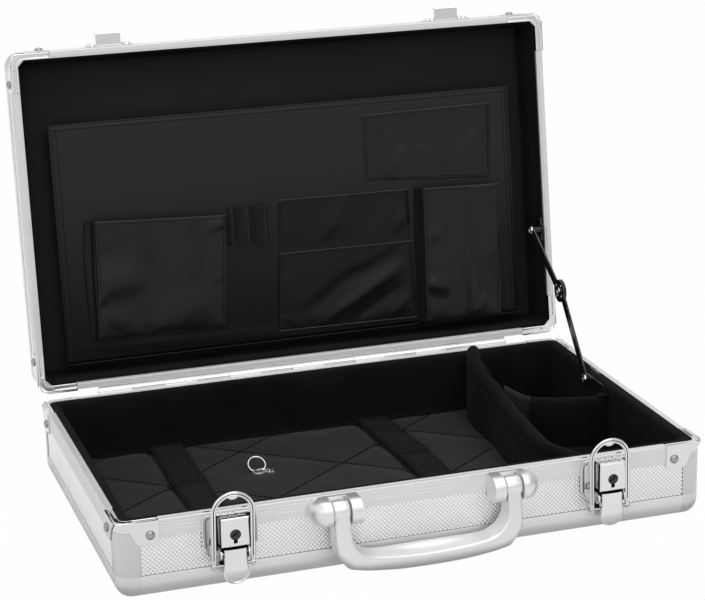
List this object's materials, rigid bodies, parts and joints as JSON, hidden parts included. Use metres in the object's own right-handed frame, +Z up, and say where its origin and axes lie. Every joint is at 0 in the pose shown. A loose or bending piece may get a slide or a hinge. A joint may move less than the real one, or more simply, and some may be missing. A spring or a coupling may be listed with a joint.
{
  "type": "attache case",
  "caption": "Open aluminium attache case with textured panels, chrome rim corners, sprung draw latches, a drop handle, padded base dividers and a lid organizer.",
  "frame": {"origin": "on the resting plane, under the middle of the base shell's footprint (outer sheet faces, handle and latches left out)", "axes": "+X towards the right-hand end seen from the handle side, +Y from the handle side to the hinge side, +Z up from the resting plane"},
  "size_m": [0.456, 0.3795, 0.3428],
  "materials": {
    "panel": "raised dot texture, satin",
    "rail": "satin anodised",
    "cast": "satin cast",
    "bright": "polished plate",
    "silver_paint": "satin silver paint",
    "velvet": "short black flock",
    "quilt": "quilted nylon",
    "nylon": "woven nylon",
    "hinge_metal": "satin",
    "stay_black": "semi-gloss black",
    "stay_screw": "plated"
  },
  "bodies": {
    "base": {"base_floor_panel": "panel", "base_wall_panels": "panel", "base_edge_rails": "rail", "base_rim_rails": "rail", "base_corner_posts": "rail", "base_ball_corners": "cast", "base_rim_caps": "bright", "base_rim_rivets": "bright", "base_lining": "velvet", "floor_pad": "quilt", "floor_straps": "nylon", "curved_divider": "velvet", "cross_divider": "velvet", "handle_mounts": "silver_paint", "handle_pins": "bright", "latch_plates": "bright", "lock_housings": "bright", "lever_pins": "bright", "hinge_base_leaf": "hinge_metal", "hinge_pin": "hinge_metal", "stay_base_bracket": "stay_black", "stay_lower_screw": "stay_screw"},
    "lid": {"lid_top_panel": "panel", "lid_wall_panels": "panel", "lid_edge_rails": "rail", "lid_rim_rails": "rail", "lid_corner_posts": "rail", "lid_ball_corners": "cast", "lid_rim_caps": "bright", "lid_rim_rivets": "bright", "lid_lining": "velvet", "organizer_panel": "nylon", "organizer_gusset": "nylon", "card_pocket": "nylon", "left_pocket": "nylon", "centre_pocket": "nylon", "right_pocket": "nylon", "pen_loops": "nylon", "lid_catches": "bright", "catch_rivets": "bright", "hinge_lid_leaf": "hinge_metal", "stay_lid_bracket": "stay_black"},
    "handle": {"handle_grip": "silver_paint"},
    "left_lever": {"left_latch_lever": "bright", "left_bail_pin": "bright"},
    "right_lever": {"right_latch_lever": "bright", "right_bail_pin": "bright"},
    "left_bail": {"left_bail": "bright"},
    "right_bail": {"right_bail": "bright"},
    "left_lock": {"left_lock_cylinder": "bright"},
    "right_lock": {"right_lock_cylinder": "bright"},
    "stay_lower": {"stay_lower_arm": "stay_black", "stay_elbow_rivet": "stay_screw"},
    "stay_upper": {"stay_upper_arm": "stay_black", "stay_upper_screw": "stay_screw"},
    "key_bunch": {"key_ring": "bright", "keys": "bright"}
  },
  "joints": [
    {"name": "lid_hinge", "type": "hinge", "parent": "base", "child": "lid", "pos_m": [0, 0.14, 0.06], "axis": [1, 0, 0], "range_deg": [0, 98]},
    {"name": "stay_lower_joint", "type": "hinge", "parent": "base", "child": "stay_lower", "pos_m": [0.21, 0.0445, 0.0525], "axis": [1, 0, 0], "range_deg": [0, 121.6]},
    {"name": "stay_elbow_joint", "type": "hinge", "parent": "stay_lower", "child": "stay_upper", "pos_m": [0.209, 0.0956, 0.1139], "axis": [1, 0, 0], "range_deg": [-161.3, 0]},
    {"name": "handle_joint", "type": "hinge", "parent": "base", "child": "handle", "pos_m": [0, -0.1456, 0.05], "axis": [1, 0, 0], "range_deg": [-105, 0]},
    {"name": "left_lever_joint", "type": "hinge", "parent": "base", "child": "left_lever", "pos_m": [-0.1426, -0.143, 0.029], "axis": [1, 0, 0], "range_deg": [-80, 0]},
    {"name": "right_lever_joint", "type": "hinge", "parent": "base", "child": "right_lever", "pos_m": [0.1454, -0.143, 0.029], "axis": [1, 0, 0], "range_deg": [-80, 0]},
    {"name": "left_bail_joint", "type": "hinge", "parent": "left_lever", "child": "left_bail", "pos_m": [-0.144, -0.1452, 0.0213], "axis": [1, 0, 0], "range_deg": [0, 95]},
    {"name": "right_bail_joint", "type": "hinge", "parent": "right_lever", "child": "right_bail", "pos_m": [0.144, -0.1452, 0.0213], "axis": [1, 0, 0], "range_deg": [0, 95]},
    {"name": "left_lock_joint", "type": "hinge", "parent": "base", "child": "left_lock", "pos_m": [-0.1426, -0.143, 0.0445], "axis": [0, 1, 0], "range_deg": [0, 90]},
    {"name": "right_lock_joint", "type": "hinge", "parent": "base", "child": "right_lock", "pos_m": [0.1454, -0.143, 0.0445], "axis": [0, 1, 0], "range_deg": [0, 90]},
    {"name": "key_lift", "type": "slide", "parent": "base", "child": "key_bunch", "axis": [0, 0, 1], "range_m": [0, 0.12]}
  ],
  "couplings": [
    {"joint": "stay_lower_joint", "follows": "lid_hinge", "ratio": 1.24},
    {"joint": "stay_elbow_joint", "follows": "lid_hinge", "ratio": -1.645},
    {"joint": "left_bail_joint", "follows": "left_lever_joint", "ratio": -1.15},
    {"joint": "right_bail_joint", "follows": "right_lever_joint", "ratio": -1.15}
  ]
}
